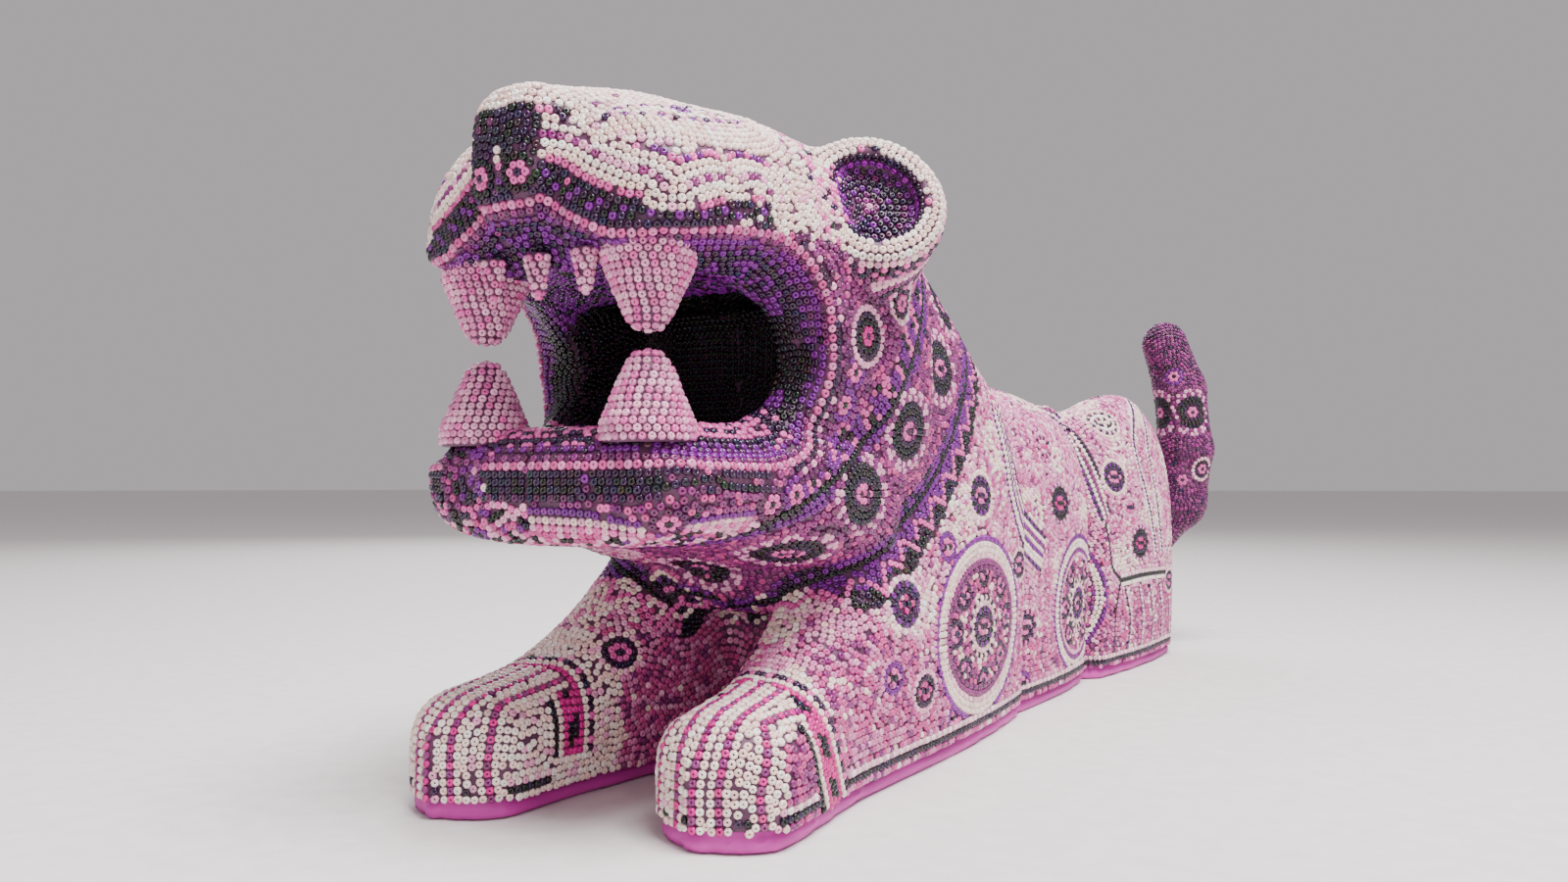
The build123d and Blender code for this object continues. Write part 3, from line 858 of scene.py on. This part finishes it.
def ground(points, normals, names):
    """Colours of the beads between the motifs, by where they are on the animal, in its millimetres, with
    painted shade low down and deep in the mouth.
    """
    x, y, z = points.T
    count = len(points)

    def paint(where, recipe):
        """Colours the beads there at random."""
        tone[where] = mixed(where.sum(), recipe)

    tone = mixed(count, "pale 32 cream 8 blush 38 rose 18 mauve 4")
    patch = np.sin(x / 9 + 2) * np.sin(y / 13) * np.sin(z / 8 + 1)
    white = (patch > 0.25) & (CHANCE.random(count) < 0.7)
    paint(white, "cream 50 white 35 pale 15")
    # Painted shade: lower on the body the beads turn rosier and darker, darker towards the bottom.
    low = (z < 40 - 8 * np.sin(y / 17)) & (CHANCE.random(count) < 0.8)
    paint(low, "rose 48 blush 30 mauve 22")
    for centre, wide, tall in OVALS:
        within = ((y - centre[1]) / wide) ** 2 + ((z - centre[2]) / tall) ** 2 < 0.8
        within &= np.abs(x) > 34
        paint(within, "rose 45 mauve 35 cream 20")

    past_upper, past_lower = beyond(points, UPPER_LINE), beyond(points, LOWER_LINE)
    fore = np.isin(names, ["head", "neck", "lower_jaw", "mouth"]) | (y < 200)
    is_leg = np.isin(names, ["left_foreleg", "right_foreleg"]) & (z < 60) & (y < 75)

    zig = fore & ~is_leg & (past_lower > 0) & (past_lower < ZIGZAG_WIDE)
    inky = past_lower >= ZIGZAG_SHIFT
    tone[zig & ~inky] = code("violet")
    paint(zig & inky, "black 70 plum 30")
    neck = fore & ~is_leg & (past_upper > 0) & (past_lower <= 0)
    beside_line = np.minimum(past_upper, -past_lower) < 4.5
    paint(neck, "mauve 60 rose 25 dusk 15")
    paint(neck & beside_line, "violet 75 plum 25")
    cheek = fore & ~is_leg & (past_upper <= 0)
    paint(cheek, "mauve 62 rose 18 dusk 20")
    edge = cheek & (past_upper > -9)
    notched = np.sin(z / 1.9 + y / 2.6) > 0
    tone[edge & notched] = code("violet")
    paint(edge & ~notched, "black 45 pink 55")

    top = np.isin(names, ["head", "neck"]) & (past_upper < 0) & (z > 156) & (y > -14)
    paint(top, "cream 52 white 38 pale 9 mauve 1")
    crown = top & (y > 44) & (CHANCE.random(count) < 0.5)
    paint(crown, "pale 40 pink 40 plum 20")
    jaw = (names == "lower_jaw") & (z < 84) & (past_upper < 0)
    paint(jaw, "pale 30 rose 30 black 25 violet 15")

    paw = is_leg & (y < 48)
    paint(paw, "cream 50 white 42 pale 8")
    # Painted shade: rose and mauve beads on the lower outer side of each paw, darker towards the bottom.
    paint(paw & (np.abs(x) > 50) & (y > 20) & (z < 26), "mauve 45 rose 55")

    tail = names == "tail"
    paint(tail, "dusk 50 mauve 40 plum 10")
    paint(tail & (z > 184), "pale 45 mauve 35 pink 20")

    in_mouth = names == "mouth"
    # The mouth's own dark plum and violet, darkened further with black as painted shade; deep in, past y 46,
    # all black as painted shade in the hollow.
    tone[in_mouth] = mixed(count, "plum 50 black 43 violet 7")[in_mouth]
    tone[in_mouth & (y > 46)] = code("black")
    paint(in_mouth & (normals[:, 2] > 0.5) & (y < 40), "pink 70 plum 30")
    paint(in_mouth & (normals[:, 2] < -0.4) & (y < 44), "violet 55 plum 45")

    nose = names == "nose"
    paint(nose, "plum 55 black 35 dusk 10")
    paint(nose & (z > 184), "cream 60 white 40")
    for name in ("left_ear", "right_ear"):
        paint(names == name, "plum 40 pink 40 pale 20")
    return tone


def labels(points):
    """The block that each point of the skin belongs to."""
    part = masses(points.T)
    names = np.array(list(part))
    values = np.stack([part[name] for name in part])
    found = names[values.argmin(0)]
    inset = lip_inset(points.T)
    cavity = mouth(points.T, inset)
    found[(cavity < MOUTH_REACH) & (inset > LIP_DEPTH) & (points[:, 1] < MOUTH_END)] = "mouth"
    return found


def gap_fill(count, apart, filled):
    """Beads in the gaps that the rest leave: so many places are tried at random, and the free ones taken."""
    found = settle(scattered(verts, triangles, count), 3)[0]
    found = found[found[:, 2] > BARE]
    found = found[nearest(found, filled)[0] > apart * PITCH]
    return found[crowd.settle_in(found, apart)]


verts, quads = nets(FIELD)
smooth_verts, vertex_normals = settle(verts, 3)
vertex_names = labels(smooth_verts)
triangles = np.concatenate([quads[:, [0, 1, 2]], quads[:, [0, 2, 3]]])
heights = verts[triangles][:, :, 2]
triangles = triangles[(heights.min(1) > BARE - 0.6) & (heights.max(1) > BARE)]

crowd = Crowd()
spots, colours, sizes, echoes = motifs.all()
taken = crowd.settle_in(spots, TIGHT)
spots, colours, sizes, echoes = spots[taken], colours[taken], sizes[taken], echoes[taken]

reach = nearest(verts, spots)[0]
rows, levels = contours(verts, triangles, reach, ROW)
rows = settle(rows, 3)[0]
free = crowd.settle_in(rows, TIGHT)
free = free[rows[free, 2] > BARE]
rows, levels = rows[free], levels[free]
loose = gap_fill(160000, LOOSE, np.concatenate([spots, rows]))
chinks = gap_fill(220000, SNUG, np.concatenate([spots, rows, loose]))
loose = np.concatenate([loose, chinks])
filling = np.concatenate([rows, loose])
near, owner = nearest(filling, spots)
levels = np.concatenate([levels, np.round(near[len(rows):] / ROW).astype(int)])

places = np.concatenate([spots, filling])
places, normals = settle(places, 2)
names = labels(places)
tones = ground(filling, normals[len(spots):], names[len(spots):])
for number, echo in enumerate(motifs.echo_rows):
    for level, words in enumerate(echo, 1):
        ringed = np.flatnonzero((echoes[owner] == number) & (levels == level))
        choice = [code(word) for word in words.split()]
        tones[ringed] = CHANCE.choice(choice, len(ringed))
tones = np.concatenate([colours, tones])
sizes = np.concatenate([sizes, np.ones(len(filling))])
sizes[len(places) - len(chinks):] = 0.9


# ---------------------------------------------------------------- materials

class Finish:
    """A material in the making. Its helpers give back the output of the node that they add."""

    def __init__(self, name, roughness, **sockets):
        self.material = bpy.data.materials.new(name)
        self.material.use_nodes = True
        self.nodes = self.material.node_tree.nodes
        self.link = self.material.node_tree.links.new
        self.shader = self.nodes["Principled BSDF"].inputs
        self.shader["Roughness"].default_value = roughness
        for socket, value in sockets.items():
            self.shader[socket.replace("_", " ")].default_value = value

    def noise(self, scale, detail=3.0, stretch=None):
        """Noise in the object's own space."""
        source = self.nodes.new("ShaderNodeTexCoord").outputs["Object"]
        texture = self.nodes.new("ShaderNodeTexNoise")
        texture.inputs["Scale"].default_value = scale
        texture.inputs["Detail"].default_value = detail
        if stretch:
            mapping = self.nodes.new("ShaderNodeMapping")
            mapping.inputs["Scale"].default_value = stretch
            self.link(source, mapping.inputs["Vector"])
            source = mapping.outputs["Vector"]
        self.link(source, texture.inputs["Vector"])
        return texture.outputs["Fac"]

    def ramp(self, source, low, dark, high, light):
        """A colour ramp from dark at one value to light at another."""
        node = self.nodes.new("ShaderNodeValToRGB")
        for element, place, colour in zip(node.color_ramp.elements, (low, high), (dark, light)):
            element.position = place
            element.color = (*colour, 1)
        self.link(source, node.inputs["Fac"])
        return node.outputs["Color"]

    def bump(self, source, strength, distance):
        """Fine relief."""
        node = self.nodes.new("ShaderNodeBump")
        node.inputs["Strength"].default_value = strength
        node.inputs["Distance"].default_value = distance
        self.link(source, node.inputs["Height"])
        self.link(node.outputs["Normal"], self.shader["Normal"])

    def mix(self, a, b, factor=None):
        """One colour laid over another by a factor, or the two multiplied."""
        node = self.nodes.new("ShaderNodeMix")
        node.data_type = "RGBA"
        if factor is None:
            node.blend_type = "MULTIPLY"
            node.inputs["Factor"].default_value = 1.0
        else:
            self.link(factor, node.inputs["Factor"])
        self.link(a, node.inputs["A"])
        self.link(b, node.inputs["B"])
        return node.outputs["Result"]


def bead_glass():
    """Opaque glass seed beads: each has its own colour, slightly uneven, under a clear gloss."""
    glass = Finish("bead_glass", 0.22, Coat_Weight=0.3, Coat_Roughness=0.06, IOR=1.5, Specular_IOR_Level=0.4)
    colour = glass.nodes.new("ShaderNodeAttribute")
    colour.attribute_name = "bead_colour"
    cloud = glass.noise(900.0, 2.0)
    shade = glass.ramp(cloud, 0.3, (0.84, 0.82, 0.84), 0.7, (1.0, 1.0, 1.0))
    glass.link(glass.mix(colour.outputs["Color"], shade), glass.shader["Base Color"])
    gloss = glass.ramp(cloud, 0.3, (0.16, 0.16, 0.16), 0.7, (0.3, 0.3, 0.3))
    glass.link(gloss, glass.shader["Roughness"])
    return glass.material


def beeswax():
    """Dark wax, stained by the paint round it."""
    wax = Finish("beeswax", 0.5, Specular_IOR_Level=0.35)
    shade = wax.ramp(wax.noise(60.0, 4.0), 0.3, (0.06, 0.018, 0.05), 0.7, (0.13, 0.045, 0.1))
    wax.link(shade, wax.shader["Base Color"])
    wax.bump(wax.noise(420.0), 0.5, 0.0004)
    return wax.material


def painted_foot(timber, bare):
    """Magenta paint, brushed on over the lowest few millimetres."""
    streak = timber.noise(30.0, 5.0, (1.0, 1.0, 9.0))
    paint = timber.ramp(streak, 0.3, (0.42, 0.015, 0.27), 0.7, (0.62, 0.04, 0.4))
    place = timber.nodes.new("ShaderNodeTexCoord")
    split = timber.nodes.new("ShaderNodeSeparateXYZ")
    above = timber.nodes.new("ShaderNodeMath")
    above.operation = "GREATER_THAN"
    above.inputs[1].default_value = (BARE + 0.8) / 1000
    timber.link(place.outputs["Object"], split.inputs["Vector"])
    timber.link(split.outputs["Z"], above.inputs[0])
    return timber.mix(paint, bare, above.outputs["Value"])


def wood(name, dark, light, grain):
    """Carved wood with grain along y."""
    timber = Finish(name, 0.55)
    lines = timber.noise(grain, 6.0, (1.0, 0.12, 1.0))
    shade = timber.ramp(lines, 0.35, dark, 0.65, light)
    timber.bump(lines, 0.4, 0.0005)
    timber.link(painted_foot(timber, shade), timber.shader["Base Color"])
    return timber.material


GLASS = bead_glass()
WAX = beeswax()
CARVED = wood("carved_wood_grain", (0.30, 0.17, 0.085), (0.52, 0.33, 0.18), 90.0)
DOWEL = wood("dowel_wood_grain", (0.46, 0.30, 0.16), (0.66, 0.47, 0.28), 160.0)


# ---------------------------------------------------------------- pieces

def to_frame(points):
    """Millimetres from the paws' line, as metres in the frame."""
    return (np.asarray(points) - (0, MIDDLE_Y, 0)) / 1000


def add_mesh(name, verts, faces, finish):
    """A new piece from points in the frame, faces as rows of four, and its material."""
    mesh = bpy.data.meshes.new(name)
    mesh.vertices.add(len(verts))
    mesh.vertices.foreach_set("co", np.asarray(verts, np.float32).ravel())
    mesh.loops.add(faces.size)
    mesh.loops.foreach_set("vertex_index", faces.astype(np.int32).ravel())
    mesh.polygons.add(len(faces))
    width = faces.shape[1]
    mesh.polygons.foreach_set("loop_start", np.arange(0, faces.size, width, dtype=np.int32))
    mesh.polygons.foreach_set("use_smooth", np.ones(len(faces), bool))
    mesh.update(calc_edges=True)
    mesh.validate()
    mesh.materials.append(finish)
    piece = bpy.data.objects.new(name, mesh)
    bpy.context.collection.objects.link(piece)
    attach(piece, "root")
    return piece


def tube(rings, sides):
    """Faces between rings of points."""
    spans = [(ring * sides + k, ring * sides + (k + 1) % sides)
             for ring in range(rings - 1) for k in range(sides)]
    return np.array([(a, b, b + sides, a + sides) for a, b in spans])


BEAD_SIDES = 7
BEAD_RINGS = [(0.28, -0.30), (0.32, 0.42), (0.80, 0.56), (1.2, 0.05), (1.0, -0.62)]  # radius, height, mm
UV_RINGS = [0.16, 0.24, 0.32, 0.41, 0.47]


def bead_shape():
    """One bead, its hole up: points, faces and a place for each point on a unit square."""
    turn = 2 * math.pi * np.arange(BEAD_SIDES) / BEAD_SIDES
    points, chart = [], []
    for (radius, height), spread in zip(BEAD_RINGS, UV_RINGS):
        points += [(radius * math.cos(a), radius * math.sin(a), height) for a in turn]
        chart += [(0.5 + spread * math.cos(a), 0.5 + spread * math.sin(a)) for a in turn]
    return np.array(points), tube(len(BEAD_RINGS), BEAD_SIDES)[:, [0, 3, 2, 1]], np.array(chart)


BEAD_POINTS, BEAD_FACES, BEAD_CHART = bead_shape()
BEAD_LEAN = 0.07       # spread of the beads' tilt, and of how far they stand off the skin
BEAD_SPREAD = 0.035    # spread of their sizes
BEAD_RAISE = 0.35      # how far a bead's middle stands off the skin
SHADE_SPREAD = 0.10
TINT_SPREAD = 0.008


def bead_piece(name, places, normals, tones, sizes):
    """One object of beads, each turned a little at random, with its colour and its own patch of the chart."""
    count = len(places)
    tilt = normals + CHANCE.normal(0, BEAD_LEAN, (count, 3))
    up = tilt / np.linalg.norm(tilt, axis=1)[:, None]
    helper = CHANCE.normal(0, 1, (count, 3))
    across = np.cross(helper, up)
    across /= np.linalg.norm(across, axis=1)[:, None]
    side = np.cross(up, across)
    scale = (sizes * CHANCE.normal(1.0, BEAD_SPREAD, count))[:, None, None]
    turned = sum(BEAD_POINTS[None, :, k:k + 1] * way[:, None] for k, way in enumerate((across, side, up)))
    raised = places + normals * (BEAD_RAISE + CHANCE.normal(0, BEAD_LEAN, (count, 1)))
    points = (raised[:, None] + turned * scale).reshape(-1, 3)
    size = len(BEAD_POINTS)
    faces = (BEAD_FACES[None] + size * np.arange(count)[:, None, None]).reshape(-1, 4)
    piece = add_mesh(name, to_frame(points), faces, GLASS)

    shade = PALETTE[tones] * CHANCE.normal(1.0, SHADE_SPREAD, (count, 1))
    shade += CHANCE.normal(0, TINT_SPREAD, (count, 3))
    rgba = np.ones((count, size, 4), np.float32)
    rgba[:, :, :3] = np.clip(shade, 0.002, 1)[:, None]
    layer = piece.data.attributes.new("bead_colour", "FLOAT_COLOR", "POINT")
    layer.data.foreach_set("color", rgba.ravel())

    across_count = math.ceil(math.sqrt(count))
    corner = np.stack(np.divmod(np.arange(count), across_count), 1)
    chart = (corner[:, None] + BEAD_CHART[None]).reshape(-1, 2) / across_count
    layer = piece.data.uv_layers.new(name="OFBake")
    layer.data.foreach_set("uv", chart[faces.ravel()].astype(np.float32).ravel())
    return piece


def bead_pieces(region):
    """The beads of one region, in pieces that aren't too heavy."""
    own = np.flatnonzero(names == region)
    own = own[np.argsort(places[own, 1], kind="stable")]
    for number in range(math.ceil(len(own) / BEADS_A_PIECE)):
        some = own[number * BEADS_A_PIECE:(number + 1) * BEADS_A_PIECE]
        piece = bead_piece(f"{region}_beads_{number + 1}", places[some], normals[some], tones[some],
                           sizes[some])


def shell(name, faces, thickness, finish):
    """Part of the skin as a closed coat of its own."""
    used, inverse = np.unique(faces, return_inverse=True)
    outer = smooth_verts[used]
    inner = outer - vertex_normals[used] * thickness
    faces = inverse.reshape(faces.shape)
    count = len(used)
    edges = np.concatenate([faces[:, [k, (k + 1) % 4]] for k in range(4)])
    keys = {tuple(edge) for edge in edges.tolist()}
    rim = np.array([(b, a, a + count, b + count) for a, b in keys if (b, a) not in keys], int).reshape(-1, 4)
    everything = np.concatenate([faces, faces[:, ::-1] + count, rim])
    return add_mesh(name, to_frame(np.concatenate([outer, inner])), everything, finish)


def core(region, fields):
    """The carved block under one region: the skin drawn in by the coat, out to the skin again at the sole."""
    others = np.minimum.reduce([field for name, field in fields.items() if name != region])
    depth = np.where(AXES[2] < BARE - CELL, SOLE_INSET, COAT)[None, None, :]
    solid = np.maximum(FIELD + depth, (fields[region] - others) / 2 + BLOCK_GAP)
    verts, faces = nets(solid)
    piece = add_mesh(region + "_core", to_frame(verts), faces, CARVED)
    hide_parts(region + "_block")


def cores():
    """The wooden blocks of the body, carved to the sculpted form."""
    fields = {name: np.broadcast_to(field, FIELD.shape).astype(np.float32)
              for name, field in masses(GRID).items()}
    for region in fields:
        core(region, fields)


def coats():
    """The wax on every block, down to the painted sole."""
    middle = smooth_verts[quads].mean(1)
    own = vertex_names[quads[:, 0]]
    is_sole = middle[:, 2] < BARE
    for region in REGIONS:
        piece = shell(region + "_wax", quads[(own == region) & ~is_sole], WAX_THICKNESS, WAX)
        if region == "mouth":
            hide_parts("upper_gum", "lower_gum")
        else:
            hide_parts(region + "_beadwork")


def tooth(node):
    """A blunt wax cone beaded in rings, in the place of a tooth of the frame."""
    low, high = (np.array(corner) * 1000 + (0, MIDDLE_Y, 0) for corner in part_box(node))
    middle = (low + high) / 2
    half = (high - low) / 2
    down = node not in ("lower_left_canine", "lower_right_canine")
    hooked = "incisor" in node
    tip = 0.3 if hooked else 0.34
    root = 0.0 if hooked else 0.2
    hook = 0.35 * half[1] if hooked else 0.0
    steps = np.linspace(0, 1, 16)
    width = 1 - (1 - tip) * np.maximum(steps - root, 0) / (1 - root)
    width[-3:] *= (0.97, 0.86, 0.55)  # the rounded tip
    turn = np.linspace(0, 2 * math.pi, 24, endpoint=False)
    way = -1 if down else 1
    if hooked:
        foot, tall = high[2], high[2] - low[2]
    elif down:
        foot, tall = ROOF + TOOTH_ROOT, ROOF + TOOTH_ROOT - low[2]
    else:
        foot, tall = FLOOR - TOOTH_ROOT, high[2] - FLOOR + TOOTH_ROOT

    def place(step, angle):
        """A point on the cone, and the way out of it."""
        wide = np.interp(step, steps, width)
        lean = hook * step
        out = np.array([math.cos(angle), math.sin(angle), 0])
        centre = (middle[0], middle[1] + lean, foot + way * tall * step)
        return np.array(centre) + out * (half[0] * wide, half[1] * wide, 0), out

    points = [place(step, angle)[0] for step in steps for angle in turn]
    count = len(turn)
    cap = np.array([(last, count - 1 - last, (count - 2 - last) % count, last + 1)
                    for last in range(count // 2 - 1)])
    end = (len(steps) - 1) * count
    faces = np.concatenate([tube(len(steps), count), cap[:, ::-1] + end, cap])
    if down:
        faces = faces[:, ::-1]
    body = add_mesh(node + "_wax", to_frame(points), faces, WAX)
    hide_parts(node)

    spots, ways = [], []
    slant = math.hypot(tall, half[0] * (1 - tip))
    rings = int(slant / ROW) + 1
    for ring in range(rings):
        step = (ring + 0.7) / (rings + 0.2)
        wide = np.interp(step, steps, width)
        around = max(round(math.pi * (half[0] + half[1]) * wide / PITCH), 3)
        for k in range(around):
            angle = 2 * math.pi * (k + 0.5 * (ring % 2)) / around
            spot, out = place(step, angle)
            tilt = out + np.array([0, 0, way * (0.45 + 0.9 * (step > 0.9))])
            spots.append(spot)
            ways.append(tilt / np.linalg.norm(tilt))
    spots.append(np.array((middle[0], middle[1] + hook, foot + way * tall)))
    ways.append(np.array((0, 0, way)))
    spots, ways = np.array(spots), np.array(ways)
    tones = mixed(len(spots), "pale 46 blush 34 pink 20")
    piece = bead_piece(node + "_beads", spots, ways, tones, np.full(len(spots), 0.94))


CANINES = ["upper_left_canine", "upper_right_canine", "lower_left_canine", "lower_right_canine"]
TEETH = CANINES + ["left_incisor", "middle_incisor", "right_incisor"]
REGIONS = ["head", "lower_jaw", "neck", "trunk", "nose", "tail"]
REGIONS += [side + part for part in ("foreleg", "flank", "haunch", "ear") for side in ("left_", "right_")]
REGIONS += ["mouth"]
cores()
coats()
for region in REGIONS:
    bead_pieces(region)
for node in TEETH:
    tooth(node)

for name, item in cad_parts.items():
    item.data.materials.clear()
    item.data.materials.append(DOWEL if "dowel" in name else CARVED)


# ---------------------------------------------------------------- floor, light and camera

LAMPS = [("key", (0.4, -0.25, 1.2), 0.6, 40.0), ("fill", (0.9, -1.2, 0.5), 1.2, 5.0),
         ("rim", (-0.9, 0.9, 0.9), 0.9, 14.0)]  # name, place, size in metres, watts
LIT_POINT = Vector((0, 0, 0.08))
CAMERA_PLACE = (0.213, -0.4595, 0.090)
CAMERA_WAY = Vector((-0.53, 0.848, 0.0392))
CAMERA_LENS = 27


def studio():
    """A pale floor, soft light from above and in front, and the camera."""
    bpy.ops.mesh.primitive_plane_add(size=60, location=(0, 0, 0))
    floor = bpy.context.object
    floor.name = "floor"
    stone = Finish("pale_floor", 0.7)
    shade = stone.ramp(stone.noise(120.0, 6.0), 0.3, (0.72, 0.68, 0.67), 0.7, (0.8, 0.76, 0.75))
    stone.link(shade, stone.shader["Base Color"])
    floor.data.materials.append(stone.material)

    for name, where, size, power in LAMPS:
        lamp = bpy.data.lights.new(name, "AREA")
        lamp.energy = power
        lamp.size = size
        item = bpy.data.objects.new(name, lamp)
        item.location = where
        item.rotation_euler = (LIT_POINT - Vector(where)).to_track_quat("-Z", "Y").to_euler()
        bpy.context.collection.objects.link(item)
    world = bpy.data.worlds.new("studio")
    world.use_nodes = True
    sky = world.node_tree.nodes["Background"]
    sky.inputs["Color"].default_value = (0.86, 0.80, 0.84, 1)
    sky.inputs["Strength"].default_value = 0.55
    bpy.context.scene.world = world

    lens = bpy.data.cameras.new("camera")
    lens.lens = CAMERA_LENS
    lens.clip_start = 0.01
    camera = bpy.data.objects.new("camera", lens)
    camera.location = CAMERA_PLACE
    camera.rotation_euler = CAMERA_WAY.to_track_quat("-Z", "Y").to_euler()
    bpy.context.collection.objects.link(camera)
    bpy.context.scene.camera = camera


studio()
